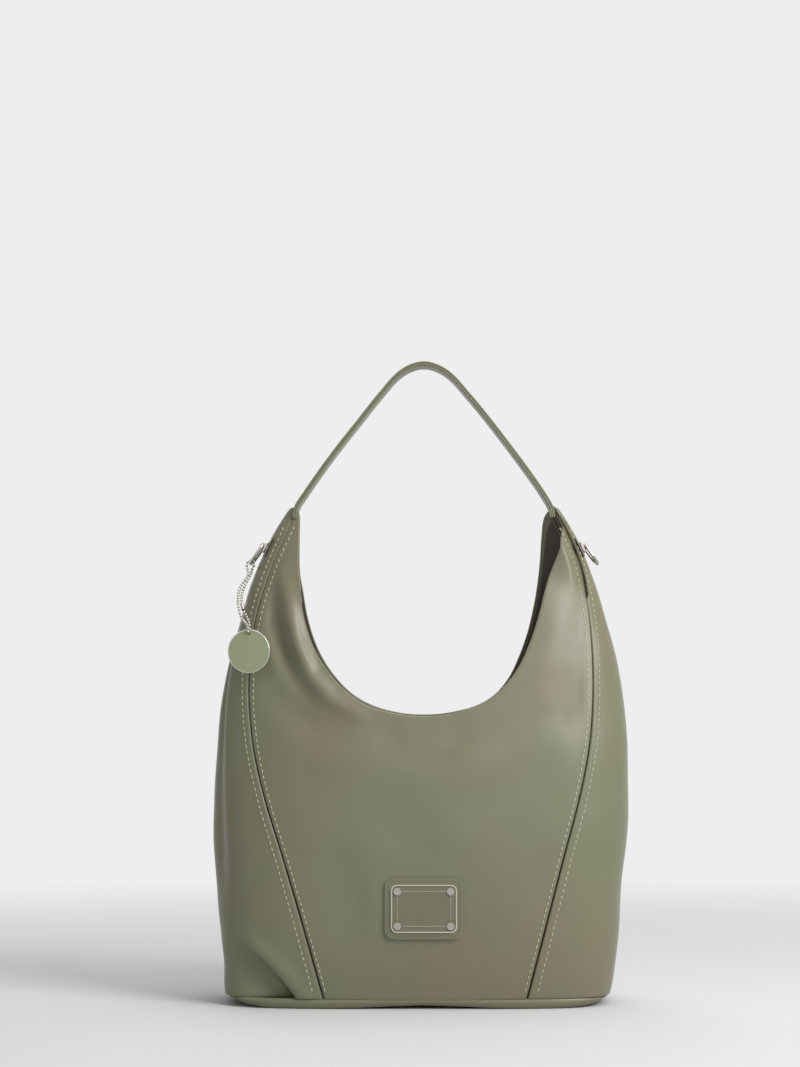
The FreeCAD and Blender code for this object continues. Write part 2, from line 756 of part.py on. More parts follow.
def ring_set(side):
    """A ring with its bridge, the plate that backs it inside the gusset and two posts that
    clamp them. It returns the tool that cuts the seat and the post holes in the gusset."""
    place = seat(side, dim("ring_height"))
    ring_bridge(side, place)
    d_ring(side, place)
    seat_tool = new_body(side + "_bridge_seat")
    outline = new_sketch(seat_tool, "YZ_Plane", "-Dims.bridge_sunk")
    rounded_rectangle(outline, "Dims.bridge_half_wide", "Dims.bridge_half_tall", "Dims.bridge_corner")
    pad(seat_tool, outline, "Dims.bridge_plate + Dims.bridge_sunk")
    seat_tool.Placement = place
    top, head = dim("bridge_plate"), dim("screw_head_deep")
    spacing, inner = dim("screw_spacing"), dim("backing_in")
    posts, holes = [], [seat_tool]
    for number, y in enumerate((-spacing, spacing)):
        label = f"{side}_{number}"
        posts.append(post(f"shank_{label}", "Dims.screw_shank", -inner, top - head, place, y))
        posts.append(post(f"head_{label}", "Dims.screw_head", top - head, top, place, y))
        holes.append(post(f"hole_{label}", "Dims.screw_shank + Dims.play", -inner - 1, 1, place, y))
    boolean("Part::MultiFuse", side + "_ring_screws", *posts)
    tool = boolean("Part::MultiFuse", side + "_ring_tool", *holes)
    ends = ("-Dims.far_wide", "-Dims.far_deep") if side == "left" else ("Dims.far_deep", "Dims.far_wide")
    tall = ("Dims.ring_height - Dims.backplate_half", "Dims.ring_height + Dims.backplate_half")
    zone = block(side + "_backplate_zone", *ends, "-Dims.tab_half", "Dims.tab_half", *tall)
    blank = boolean("Part::MultiCommon", side + "_backplate_blank", backing_layer, zone)
    boolean("Part::Cut", side + "_ring_backplate", blank, tool)
    return tool


boolean("Part::Cut", "left_gusset", left_gusset_sheet, ring_set("left"))
boolean("Part::Cut", "right_gusset", right_gusset_sheet, ring_set("right"))

# ---------------------------------------------------------------- badge


def flat_block(name, place, wide, tall, corner, start, length):
    """A rounded plate that lies on the leather, from a distance out of it."""
    body = new_body(name)
    outline = new_sketch(body, "YZ_Plane", start)
    rounded_rectangle(outline, wide, tall, corner)
    pad(body, outline, length)
    body.Placement = place
    return body


def badge():
    """A sewn leather patch with a rimmed metal plate on it, held by four rivets whose washers
    lie behind the leather. It returns the tool that cuts the patch's bed in the panel."""
    place = seat("front", dim("badge_height"))
    patch_size = ("Dims.patch_half_wide", "Dims.patch_half_tall", "Dims.patch_corner")
    patch = flat_block("patch_blank", place, *patch_size, "-Dims.patch_sunk", "Dims.patch_thick")
    plate_size = ("Dims.plate_half_wide", "Dims.plate_half_tall", "Dims.plate_corner")
    face = "Dims.patch_thick - Dims.patch_sunk"
    plate = flat_block("plate_blank", place, *plate_size, face, "Dims.plate_thick")
    field = new_sketch(plate, "YZ_Plane", f"{face} + Dims.plate_thick")
    rounded_rectangle(field, *(f"{size} - Dims.plate_rim" for size in plate_size))
    pocket(plate, field, "Dims.plate_recess")
    plate_base = dim("patch_thick") - dim("patch_sunk")
    top = plate_base + dim("plate_thick") - dim("plate_recess")
    rivets, holes, washers = [], [], []
    for number in range(4):
        y = dim("rivet_half_wide") * (-1 if number % 2 else 1)
        z = dim("rivet_half_tall") * (-1 if number > 1 else 1)
        at = (place, y, z)
        rivets.append(post(f"rivet_shank_{number}", "Dims.rivet_shank", -dim("rivet_tail"), top, *at))
        rivets.append(post(f"rivet_head_{number}", "Dims.rivet_head", top, top + dim("rivet_rise"), *at))
        holes.append(post(f"rivet_hole_{number}", "Dims.rivet_shank + Dims.play", -4, 6, *at))
        washer = post(f"washer_{number}", "Dims.rivet_head", -dim("washer_in"), -dim("washer_out"), *at)
        washers.append(washer)
    holes = boolean("Part::MultiFuse", "rivet_holes", *holes)
    boolean("Part::MultiFuse", "badge_rivets", *rivets)
    boolean("Part::Cut", "badge_washers", boolean("Part::MultiFuse", "washer_blanks", *washers), holes)
    boolean("Part::Cut", "badge_patch", patch, holes)
    boolean("Part::Cut", "badge_plate", plate, holes)
    return boolean("Part::MultiFuse", "badge_tool", patch, holes)


boolean("Part::Cut", "front_panel", front_sheet, badge())

# ---------------------------------------------------------------- magnetic snap


def snap_half(side, name, stud_length):
    """One half of the snap, sunk into the facing, with its washer behind. It returns the tool
    that cuts the facing. A positive stud length adds a stud, a negative one a recess."""
    place = seat(side, dim("snap_height"))
    back, rim = -dim("lining_out"), -dim("lining_in") - dim("snap_thick")
    disc = post(name + "_disc", "Dims.snap_radius", rim, back, place)
    reach = abs(stud_length)
    if stud_length > 0:
        stud = post(name + "_stud", "Dims.snap_stud", rim - reach, rim, place)
        boolean("Part::MultiFuse", name, disc, stud)
    else:
        recess = post(name + "_recess", "Dims.snap_stud + Dims.play", rim - 1, rim + reach, place)
        boolean("Part::Cut", name, disc, recess)
    inner, outer = -dim("washer_in"), -dim("snap_washer_out")
    washer = post(side + "_snap_washer", "Dims.snap_radius", inner, outer, place)
    washer.Label = side + "_snap_washer"
    return post(name + "_seat", "Dims.snap_radius", rim, back + 1, place)


boolean("Part::Cut", "front_facing", front_facing, snap_half("front", "snap_socket", -1.6))
boolean("Part::Cut", "back_facing", back_facing, snap_half("back", "snap_stud", 1.4))

# ---------------------------------------------------------------- hang tag and ball chain


def hang_tag():
    """A round metal tag, holed near its top. It hangs upright with its back edge just clear of
    the leather, turned a little towards the side. Its local X is its axis and points forward."""
    body = new_body("hang_tag")
    outline = new_sketch(body, "YZ_Plane", "-Dims.tag_thick * 0.5")
    circle_at(outline, 0, 0, "Dims.tag_radius")
    circle_at(outline, 0, dim("tag_hole_reach"), "Dims.tag_hole", up="Dims.tag_hole_reach")
    disc = pad(body, outline, "Dims.tag_thick")
    doc.recompute()
    edges = [
        f"Edge{i}"
        for i, e in enumerate(disc.Shape.Edges, 1)
        if e.Closed and abs(e.Curve.Radius - dim("tag_radius")) < 0.01
    ]
    bevel = body.newObject("PartDesign::Fillet", "tag_edge")
    bevel.Base = (disc, edges)
    bevel.setExpression("Radius", "Dims.tag_thick * 0.3")
    turn = Rotation(Vector(0, 0, 1), HEADINGS["front"] - dim("tag_turn"))
    centre = Vector(dim("tag_x"), -60, dim("tag_height"))
    for _ in range(6):
        body.Placement = Placement(centre, turn)
        gap = body.Shape.distToShape(wall_layer.Shape)[0]
        centre.y += gap - dim("tag_gap")
    return body


tag = hang_tag()

# The chain's way down from the ring to the tag, wrapped round the side of the bag: at each
# height, the heading from an upright axis inside the bag, and half the gap between the strands
CHAIN_AXIS = Vector(-105, 0, 0)
CHAIN_ROUTE = [(188, 342, 0.1), (199, 333, 0.3), (210, 323, 0.5), (220, 312.5, 1.0), (229, 303, 1.7)]
SLEEVE_SHARE = 0.7  # of the loop's beads, counted from the ring
STRAND_LIFTS = {"inner": 2.3, "outer": 4.9}


def draped(heading, z, lift):
    """A point a little way off the leather, in a heading from the chain's axis."""
    out = Rotation(Vector(0, 0, 1), heading).multVec(Vector(1, 0, 0))
    start = CHAIN_AXIS + Vector(0, 0, z)
    hit = Part.makeLine(start, start + out * 120).common(wall_layer.Shape)
    reach = max(v.Point.distanceToPoint(start) for v in hit.Vertexes)
    return start + out * (reach + lift)


def chain_loop():
    """The closed line of the chain: up through the ring, down the outer strand, through the
    tag's hole and back up the inner strand."""
    place = seat("left", dim("ring_height"))
    lift = Rotation(Vector(0, 1, 0), -dim("ring_lift"))
    hinge = place * Placement(Vector(dim("bridge_axis"), 0, 0), lift)
    reach = dim("ring_corner") + dim("ring_side") + dim("ring_half")
    bow = hinge.multVec(Vector(0, 0, -reach))
    out = hinge.Rotation.multVec(Vector(1, 0, 0))
    up = hinge.Rotation.multVec(Vector(0, 0, 1))
    hole = tag.Placement.multVec(Vector(0, 0, dim("tag_hole_reach")))
    face = tag.Placement.Rotation.multVec(Vector(1, 0, 0))
    rise = Vector(0, 0, 1)
    r, t = dim("ring_bight"), dim("tag_bight")

    def strand(name, sign):
        points = []
        for heading, z, spread in CHAIN_ROUTE:
            tangent = Rotation(Vector(0, 0, 1), heading - 90).multVec(Vector(1, 0, 0))
            points.append(draped(heading, z, STRAND_LIFTS[name]) + tangent * (sign * spread))
        return points

    turn = [math.radians(angle) for angle in range(0, 181, 45)]
    ring_turn = [bow - out * (r * math.cos(a)) + up * (r * math.sin(a)) for a in turn]
    hole_turn = [hole + face * (t * math.cos(a)) + rise * (t - t * math.sin(a)) for a in turn]
    outer, inner = strand("outer", 1), strand("inner", -1)
    loop = ring_turn + outer + hole_turn + inner[::-1]
    curve = Part.BSplineCurve()
    curve.interpolate(Points=loop, PeriodicFlag=True)
    return curve.toShape(), bow


def rod(radius, start, end):
    return Part.makeCylinder(radius, start.distanceToPoint(end), start, end - start)


def ball_chain():
    """Hollow beads strung on short wire links, and the sleeve that joins the two ends."""
    loop, bow = chain_loop()
    count = round(loop.Length / dim("bead_pitch"))
    places = loop.discretize(Number=count + 1)[:-1]
    first = round(count * SLEEVE_SHARE)  # the sleeve grips this bead and the next, on the inner strand
    a, b = places[first], places[first + 1]
    axis = (b - a).normalize()
    grip = dim("connector_end")
    ends = a - axis * grip, b + axis * grip
    sleeve = doc.addObject("Part::Feature", "chain_connector")
    sleeve.Label = "chain_connector"
    sleeve.Shape = rod(dim("connector"), *ends)
    solids = []
    for k in range(count):
        here, following = places[k], places[(k + 1) % count]
        if k not in (first, first + 1):
            solids.append(Part.makeSphere(dim("bead"), here))
        if k == first - 1:
            solids.append(rod(dim("link"), here, ends[0]))
        elif k == first + 1:
            solids.append(rod(dim("link"), ends[1], following))
        elif k != first:
            solids.append(rod(dim("link"), here, following))
    chain = doc.addObject("Part::Feature", "ball_chain")
    chain.Label = "ball_chain"
    chain.Shape = solids[0].multiFuse(solids[1:])
    return loop, bow


chain_line, ring_bow = ball_chain()

# ---------------------------------------------------------------- checks and export

NODES = [
    "front_panel",
    "back_panel",
    "left_gusset",
    "right_gusset",
    "base_panel",
    "base_board",
    "front_facing",
    "back_facing",
    "front_lining",
    "back_lining",
    "base_lining",
    "slip_pocket",
    "handle_top_ply",
    "handle_core",
    "handle_under_ply",
    "left_handle_tab",
    "right_handle_tab",
    "left_ring_bridge",
    "right_ring_bridge",
    "left_ring_backplate",
    "right_ring_backplate",
    "left_ring_screws",
    "right_ring_screws",
    "left_d_ring",
    "right_d_ring",
    "ball_chain",
    "chain_connector",
    "hang_tag",
    "badge_patch",
    "badge_plate",
    "badge_rivets",
    "badge_washers",
    "snap_socket",
    "snap_stud",
    "front_snap_washer",
    "back_snap_washer",
]


def export_nodes():
    """Checks every object of the document, then writes one file for each piece of the bag."""
    doc.recompute()
    failed = [o.Name for o in doc.Objects if "Invalid" in o.State or "Error" in o.State]
    if failed:
        raise ValueError(f"failed to rebuild: {failed}")
    os.makedirs("parts", exist_ok=True)
    for name in NODES:
        (piece,) = doc.getObjectsByLabel(name)
        shape = piece.Shape
        if shape.isNull() or not shape.isValid() or not shape.Solids:
            raise ValueError(f"{name}: no valid solid")
        shape.exportStep(f"parts/{name}.step")


export_nodes()
print(f"ring axis {seat('right', dim('ring_height')) * Vector(dim('bridge_axis'), 0, 0)}")
print(f"ring bow {ring_bow}, tag hole {tag.Placement * Vector(0, 0, dim('tag_hole_reach'))}")
print(f"chain length {chain_line.Length:.1f}")
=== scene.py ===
import math

import bmesh
import bpy
from mathutils import Matrix, Vector, noise


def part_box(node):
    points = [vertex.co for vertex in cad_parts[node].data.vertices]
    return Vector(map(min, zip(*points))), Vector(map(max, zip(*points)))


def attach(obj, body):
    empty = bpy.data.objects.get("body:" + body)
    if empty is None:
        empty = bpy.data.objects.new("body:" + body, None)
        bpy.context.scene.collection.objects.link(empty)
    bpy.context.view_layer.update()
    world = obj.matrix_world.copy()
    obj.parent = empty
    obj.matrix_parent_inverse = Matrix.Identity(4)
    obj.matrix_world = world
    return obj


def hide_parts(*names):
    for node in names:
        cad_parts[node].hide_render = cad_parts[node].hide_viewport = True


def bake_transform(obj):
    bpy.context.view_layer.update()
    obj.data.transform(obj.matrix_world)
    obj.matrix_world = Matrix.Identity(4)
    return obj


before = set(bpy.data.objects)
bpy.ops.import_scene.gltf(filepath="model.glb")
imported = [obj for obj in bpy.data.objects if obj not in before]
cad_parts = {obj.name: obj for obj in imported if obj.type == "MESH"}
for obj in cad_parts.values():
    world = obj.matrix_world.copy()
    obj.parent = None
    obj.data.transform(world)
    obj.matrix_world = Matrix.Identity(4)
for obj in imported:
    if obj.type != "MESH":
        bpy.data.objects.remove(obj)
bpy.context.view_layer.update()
mm = 0.001


# small helpers

def toMesh(bm, name, material, body, smooth=True):
    # turns a bmesh into an object that rides on a body
    mesh = bpy.data.meshes.new(name)
    bm.to_mesh(mesh)
    bm.free()
    piece = bpy.data.objects.new(name, mesh)
    bpy.context.collection.objects.link(piece)
    mesh.materials.append(material)
    for face in mesh.polygons:
        face.use_smooth = smooth
    if body:
        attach(piece, body)
    return piece


def along(points, z):
    # a smooth curve through (height, value) points: Catmull-Rom, flat past the ends
    if z <= points[0][0]:
        return points[0][1]
    if z >= points[-1][0]:
        return points[-1][1]
    k = next(i for i in range(1, len(points)) if z <= points[i][0])
    z0, v0 = points[k - 1]
    z1, v1 = points[k]
    zb, vb = points[max(k - 2, 0)]
    za, va = points[min(k + 1, len(points) - 1)]
    h = z1 - z0
    m0 = (v1 - vb) / (z1 - zb) * h if k > 1 else v1 - v0
    m1 = (va - v0) / (za - z0) * h if k < len(points) - 1 else v1 - v0
    u = (z - z0) / h
    return (v0 * (1 + 2 * u) * (1 - u) ** 2 + m0 * u * (1 - u) ** 2
            + v1 * u * u * (3 - 2 * u) + m1 * u * u * (u - 1))


def pathPoint(points, t):
    # a point at a share t of the length of a smooth curve through 2D or 3D points
    points = [Vector(p) for p in points]
    lengths = [0.0]
    for a, b in zip(points, points[1:]):
        lengths.append(lengths[-1] + (b - a).length)
    place = max(0.0, min(1.0, t)) * lengths[-1]
    axes = [[(l, p[i]) for l, p in zip(lengths, points)] for i in range(len(points[0]))]
    return Vector([along(axis, place) for axis in axes])


def bump(d, width):
    return math.exp(-(d / width) ** 2)


def step(low, high, v):
    u = max(0.0, min(1.0, (v - low) / (high - low)))
    return u * u * (3 - 2 * u)


# the form of the bag, in millimetres: what every leather and cloth piece follows

form = {
    "left": [(0, 152), (8, 157.5), (44, 161.6), (76, 164.8), (108, 167.2), (150, 168.6), (204, 167.4),
             (236, 164.6), (268, 159.2), (300, 150.4), (332, 140), (364, 125.6), (388, 111), (396, 105)],
    "right": [(0, 143), (8, 147.5), (44, 154.4), (76, 157.6), (108, 160), (150, 162.8), (204, 164.4),
              (236, 162.4), (268, 157), (300, 148.8), (332, 138.6), (364, 125), (388, 111), (396, 105)],
    "depth": [(0, 57), (8, 59.5), (40, 63), (90, 65.5), (140, 65), (190, 61), (228, 56), (270, 49),
              (320, 39), (360, 27), (385, 17), (396, 13)],
    "square": [(0, 4.2), (60, 3.4), (140, 3.0), (250, 2.7), (396, 2.5)],
    "leftSeam": [(0, -77), (64, -94.6), (115, -109.6), (165, -125.2), (206, -134.4), (249, -138), (300, -134),
                 (345, -121), (375, -108.5), (394, -101.5)],
    "rightSeam": [(0, 79), (64, 95.3), (115, 108.5), (165, 122), (206, 130), (249, 133), (300, 131),
                  (345, 124), (375, 112.5), (394, 101.5)],
    "foot": 7.5,
}

# the mouth's outline in the front view, from the left peak round to the right one
frontRim = [(-101.5, 394), (-99.6, 388), (-99.3, 374), (-99.6, 350), (-97.4, 330), (-95.4, 312),
            (-91.5, 296), (-85.5, 280),
            (-75, 262.5), (-60, 246), (-42, 234.5), (-20, 228.4), (0, 226.8), (20, 228.6), (40, 234.6),
            (56, 244), (72, 262.5), (83, 285), (90, 306), (97, 332), (103.5, 350), (109, 365),
            (110.5, 376), (108.5, 386), (101.5, 394.5)]
backRim = [(-101.5, 394), (-100.2, 388), (-100.6, 374), (-101, 346), (-98.6, 330), (-96, 313),
           (-92, 297), (-85.5, 280),
           (-75, 263), (-60, 247), (-42, 236.5), (-20, 230.5), (0, 229), (20, 230.5), (42, 236),
           (58, 245.5), (70, 260), (78, 277), (84, 294), (88, 310), (91.6, 330), (94, 352),
           (95, 372), (96.5, 386), (101.5, 394.5)]


def ridge(x, z, path, width, height):
    # a soft fold along a short path, fading at its ends
    best, share = 1e9, 0.0
    total = sum((Vector(b) - Vector(a)).length for a, b in zip(path, path[1:]))
    gone = 0.0
    for a, b in zip(path, path[1:]):
        a, b = Vector(a), Vector(b)
        run = b - a
        u = max(0.0, min(1.0, (Vector((x, z)) - a).dot(run) / run.length_squared))
        d = (Vector((x, z)) - a - run * u).length
        if d < best:
            best, share = d, (gone + u * run.length) / total
        gone += run.length
    return height * bump(best, width) * math.sin(math.pi * min(1.0, max(0.0, 0.08 + 0.84 * share))) ** 0.7


frontFolds = [  # path in the front view, width and height
    ([(-112, 338), (-106, 308), (-101, 286), (-90, 258), (-72, 240), (-52, 230)], 8.0, 5.0),
    ([(-118, 322), (-117, 300), (-108, 272), (-92, 246)], 8, -4.2),
    ([(-95, 318), (-90, 292), (-80, 268)], 7, -2.0),
    ([(-128, 268), (-112, 240), (-86, 218), (-56, 208)], 12, -1.8),
    ([(-40, 212), (0, 208), (40, 214)], 13, -2.2),
    ([(-60, 196), (0, 186), (60, 196)], 22, 1.6),
    ([(110, 330), (104, 290), (90, 256)], 14, 1.6),
    ([(124, 262), (104, 228), (70, 210)], 13, -1.6),
    ([(60, 150), (92, 110), (100, 70)], 20, -1.2),
    ([(-70, 130), (-60, 90), (-64, 40)], 20, -1.2),
]
backFolds = [
    ([(108, 330), (102, 296), (86, 256), (58, 234)], 10, 3.0),
    ([(118, 300), (104, 262), (84, 240)], 9, -2.6),
    ([(-112, 320), (-102, 280), (-84, 252), (-60, 238)], 11, 2.4),
    ([(-40, 214), (0, 208), (40, 214)], 16, -2.4),
    ([(-80, 120), (-60, 80), (-66, 40)], 20, -1.5),
    ([(84, 150), (74, 100), (84, 40)], 22, -1.5),
]


def frontPoint(x, z, inset=0.0, side=-1):
    # a point of the front (side -1) or back (side 1) panel over a place in the front view
    half = along(form["right"] if x > 0 else form["left"], z) - inset
    depth = along(form["depth"], z) - inset
    power = along(form["square"], z)
    share = min(abs(x) / half, 0.9995)
    y = depth * (1 - share ** power) ** (1 / power)
    folds = sum(ridge(x, z, *fold) for fold in (frontFolds if side < 0 else backFolds))
    folds += 1.1 * noise.noise(Vector((x, z, 40 * side)) / 46) * step(8, 60, z)
    folds *= step(0, 13, min(along(form["rightSeam"], z) - x, x - along(form["leftSeam"], z)))
    calm = step(22, 0, max(0, abs(x) - 32)) * step(22, 0, max(0, abs(z - 78.5) - 27)) if side < 0 else 0
    calm = max(calm, 0.9 * step(22, 0, max(0, abs(x) - 9)) * step(20, 0, max(0, abs(z - 211) - 9)))
    folds *= 1 - calm  # the leather lies flat under the badge and over the snap
    if side < 0:  # the right rim gapes forwards near its peak
        seam = along(form["rightSeam"], z)
        reach = step(0, 1, 1 - max(0.0, seam - x) / 30) * step(seam, seam - 11, x)
        folds += 9 * reach * step(318, 362, z) * step(396, 378, z)
    return Vector((x, side * (y + folds), z))


def gussetPoint(v, z, side, inset=0.0):
    # a point of the left (side -1) or right (side 1) gusset, v from -1 at the front seam to 1
    half = along(form["right"] if side > 0 else form["left"], z) - inset
    depth = along(form["depth"], z) - inset
    power = along(form["square"], z)
    seam = abs(along(form["rightSeam"] if side > 0 else form["leftSeam"], z))
    share = min(seam / (half + inset), 0.9995)
    turn = v * math.acos(share ** (power / 2))
    cosine, sine = math.cos(turn), math.sin(turn)
    x, y = half * cosine ** (2 / power), depth * math.copysign(abs(sine) ** (2 / power), sine)
    spot = Vector((side * x, y, z))
    out = Vector((side * (x / half) ** (power - 1) / half,
                  math.copysign((abs(y) / depth) ** (power - 1), y) / depth, 0)).normalized()
    push = gussetFold(v, z, side) + 1.0 * noise.noise(Vector((y, z, 90 * side)) / 42) * step(8, 60, z)
    push *= step(0, 0.14, 1 - abs(v)) * step(form["foot"] - 1, form["foot"] + 8, z)
    if side < 0 and y < 0:
        push += tuck(spot.x, z) * step(0, 0.05, 1 - abs(v))
    return spot + out * push


def gussetFold(v, z, side):
    # the soft hollows of a gusset and the gentle crease low on the right one
    push = -3.0 * bump(v, 0.42) * step(120, 230, z) * step(380, 300, z)
    push += -2.0 * bump(v - 0.15, 0.5) * step(10, 60, z) * step(150, 90, z)
    if side < 0:
        push -= 4.5 * bump(v + 0.34, 0.15) * step(60, 130, z) * step(330, 250, z)
    return push


tuckLook = {"high": (-141, 51), "low": (-97, 6), "bow": 2.5, "depth": 10.0, "lip": 1.3}


def tuck(x, z):
    # the fold pressed into the left gusset's lower front corner: a sharp edge from high on the
    # side down to the seam's foot, with the leather below it sunk
    (x0, z0), (x1, z1) = tuckLook["high"], tuckLook["low"]
    run = Vector((x1 - x0, z1 - z0))
    share = (Vector((x, z)) - Vector((x0, z0))).dot(run) / run.length_squared
    below = ((x1 - x0) * (z - z0) - (z1 - z0) * (x - x0)) / run.length
    below -= tuckLook["bow"] * math.sin(math.pi * max(0.0, min(1.0, share)))
    sunk = step(0, 2.6, -below) * step(44, 6, -below) * step(-0.22, 0.42, share) * step(1.25, 0.94, share)
    return tuckLook["lip"] * bump(below - 5, 6) * step(-0.2, 0.2, share) - tuckLook["depth"] * sunk


def coons(bottom, left, right, top, s, t):
    # a point of the patch between four curves, with s and t from 0 to 1
    ruled = bottom(s) * (1 - t) + top(s) * t + left(t) * (1 - s) + right(t) * s
    corners = left(0) * (1 - s) * (1 - t) + right(0) * s * (1 - t)
    corners += left(1) * (1 - s) * t + right(1) * s * t
    return ruled - corners


# shader helper: wraps a socket so that maths reads as Python

class Wire:
    def __init__(self, tree, socket):
        self.tree = tree
        self.socket = socket

    def node(self, kind, settings=None, **inputs):
        # adds a node: its settings first, then values or links by socket name or number
        made = self.tree.nodes.new(kind)
        for key, value in (settings or {}).items():
            setattr(made, key, value)
        for key, value in inputs.items():
            name = int(key[1:]) if key[0] == "_" and key[1:].isdigit() else key.replace("_", " ")
            target = made.inputs[name]
            if isinstance(value, Wire):
                self.tree.links.new(value.socket, target)
            else:
                target.default_value = value
        return made

    def out(self, kind, output=0, settings=None, **inputs):
        return Wire(self.tree, self.node(kind, settings, **inputs).outputs[output])

    def maths(self, operation, other=0.0, flip=False):
        first, second = (other, self) if flip else (self, other)
        return self.out("ShaderNodeMath", 0, {"operation": operation}, _0=first, _1=second)

    def __add__(self, other):
        return self.maths("ADD", other)

    def __radd__(self, other):
        return self.maths("ADD", other, True)

    def __sub__(self, other):
        return self.maths("SUBTRACT", other)

    def __rsub__(self, other):
        return self.maths("SUBTRACT", other, True)

    def __mul__(self, other):
        return self.maths("MULTIPLY", other)

    def __rmul__(self, other):
        return self.maths("MULTIPLY", other, True)

    def mix(self, a, b):
        # this value picks between two colours
        return self.out("ShaderNodeMix", 2, {"data_type": "RGBA"}, _0=self, _6=a, _7=b)


def newMaterial(name, settings):
    # a Principled material with its constants on the shader's own sockets
    material = bpy.data.materials.new(name)
    material.use_nodes = True
    tree = material.node_tree
    shader = tree.nodes["Principled BSDF"]
    for key, value in settings.items():
        shader.inputs[key].default_value = value
    place = tree.nodes.new("ShaderNodeTexCoord")
    return material, Wire(tree, place.outputs["Object"]), shader


def feed(wire, shader, **links):
    for key, value in links.items():
        wire.tree.links.new(value.socket, shader.inputs[key.replace("_", " ")])


def noiseAt(place, scale, detail=3.0, rough=0.5):
    return place.out("ShaderNodeTexNoise", 0, None, Vector=place, Scale=scale, Detail=detail, Roughness=rough)


def rgb(r, g, b):
    # a screen colour as the shader's linear one
    return tuple(((c / 255 + 0.055) / 1.055) ** 2.4 for c in (r, g, b)) + (1,)


leatherLook = {
    "green": rgb(113, 116, 90),
    "brown": rgb(117, 113, 90),
    "roughness": 0.36,
    "sheen": 0.06,
    "grain": 0.06,
}


def makeLeather(name, look):
    constants = {"Sheen Weight": look["sheen"], "Sheen Roughness": 0.4, "Specular IOR Level": 0.45}
    material, place, shader = newMaterial(name, constants)
    cloudy = noiseAt(place, 9.0, 2.0)
    tone = cloudy.out("ShaderNodeMapRange", 0, None, Value=cloudy, **{"From Min": 0.38, "From Max": 0.62})
    colour = tone.mix(look["green"], look["brown"])
    fine = noiseAt(place, 900.0, 3.0, 0.6)
    pores = place.out("ShaderNodeTexVoronoi", 0, {"feature": "DISTANCE_TO_EDGE"}, Vector=place, Scale=720.0)
    handling = noiseAt(place, 30.0, 4.0, 0.6)
    rough = look["roughness"] - 0.05 + handling * 0.14
    height = pores.maths("MINIMUM", 0.12) * 2.0 + fine * 0.5
    bumpNode = place.node("ShaderNodeBump", None, Strength=look["grain"], Distance=0.0003, Height=height)
    feed(place, shader, Base_Color=colour, Roughness=rough, Normal=Wire(place.tree, bumpNode.outputs[0]))
    return material


def makeMetal(name, colour, roughness):
    material, place, shader = newMaterial(name, {"Metallic": 1.0, "Base Color": colour})
    feed(place, shader, Roughness=roughness - 0.04 + noiseAt(place, 400.0, 3.0) * 0.1)
    return material


weaveScale = 420.0


def makeCloth(name, colour, dark):
    material, place, shader = newMaterial(name, {"Specular IOR Level": 0.2, "Sheen Weight": 0.15})
    warp, weft = (place.out("ShaderNodeTexWave", 0, {"bands_direction": way}, Vector=place,
                            Scale=weaveScale, Distortion=1.0) for way in "XZ")
    weave = warp * 0.5 + weft * 0.5
    bumpNode = place.node("ShaderNodeBump", None, Strength=0.3, Distance=0.0002, Height=weave)
    feed(place, shader, Base_Color=weave.mix(dark, colour), Roughness=0.75 + weave * 0.15,
         Normal=Wire(place.tree, bumpNode.outputs[0]))
    return material


leather = makeLeather("leather", leatherLook)
# the leather's inner faces take a darker brown copy of the leather: painted shade for the bag's inside, where
# the same leather lies in shade
shadedFacingLook = dict(leatherLook, green=rgb(78, 68, 56), brown=rgb(86, 72, 60), roughness=0.5)
shadedFacingLeather = makeLeather("shadedFacingLeather", shadedFacingLook)
liningCloth = makeCloth("liningCloth", rgb(92, 78, 66), rgb(66, 55, 46))
paleThread = makeCloth("paleThread", rgb(205, 208, 180), rgb(170, 172, 146))
toneThread = makeCloth("toneThread", rgb(122, 124, 100), rgb(96, 98, 78))
silver = makeMetal("silver", rgb(172, 168, 161), 0.26)
paleMetal = makeMetal("paleMetal", rgb(214, 208, 192), 0.4)
darkMetal = makeMetal("darkMetal", rgb(120, 116, 108), 0.35)


def makeEnamel(name, colour, metal, outline):
    # enamel whose metal shows wherever outline, from the place's x, y and z, is above zero
    material, place, shader = newMaterial(name, {"Coat Roughness": 0.15, "Specular IOR Level": 0.5})
    parts = place.node("ShaderNodeSeparateXYZ", None, Vector=place)
    x, y, z = (Wire(place.tree, parts.outputs[k]) for k in range(3))
    bare = outline(x, y, z).maths("GREATER_THAN", 0.0)
    mottle = noiseAt(place, 260.0, 3.0)
    shade = (mottle * 0.5 + 0.25).mix(tuple(c * 0.92 for c in colour[:3]) + (1,), colour)
    rough = 0.34 + mottle * 0.12 - bare * 0.1  # the bare metal is a little smoother
    feed(place, shader, Base_Color=bare.mix(shade, metal), Metallic=bare, Roughness=rough)
    return material


plateLook = {"colour": rgb(112, 108, 86), "wide": 24.5, "tall": 17.6, "corner": 3.8, "middle": 78.5}
tagLook = {"colour": rgb(149, 157, 125), "radius": 16.35, "middle": (-136.0, 277.0), "turn": math.radians(12)}


def plateOutline(x, y, z):
    corner = plateLook["corner"] * mm
    up = z - plateLook["middle"] * mm
    overX = (x.maths("ABSOLUTE") - (plateLook["wide"] * mm - corner)).maths("MAXIMUM", 0.0)
    overZ = (up.maths("ABSOLUTE") - (plateLook["tall"] * mm - corner)).maths("MAXIMUM", 0.0)
    return (overX * overX + overZ * overZ).maths("SQRT") - corner


def tagOutline(x, y, z):
    across = (x - tagLook["middle"][0] * mm) * (1 / math.cos(tagLook["turn"]))
    up = z - tagLook["middle"][1] * mm
    return (across * across + up * up).maths("SQRT") - tagLook["radius"] * mm


plateEnamel = makeEnamel("plateEnamel", plateLook["colour"], rgb(205, 200, 188), plateOutline)
tagEnamel = makeEnamel("tagEnamel", tagLook["colour"], rgb(205, 202, 196), tagOutline)
print("materials made")


# a sheet is one outer face place(s, t) given a wall and rounded edges

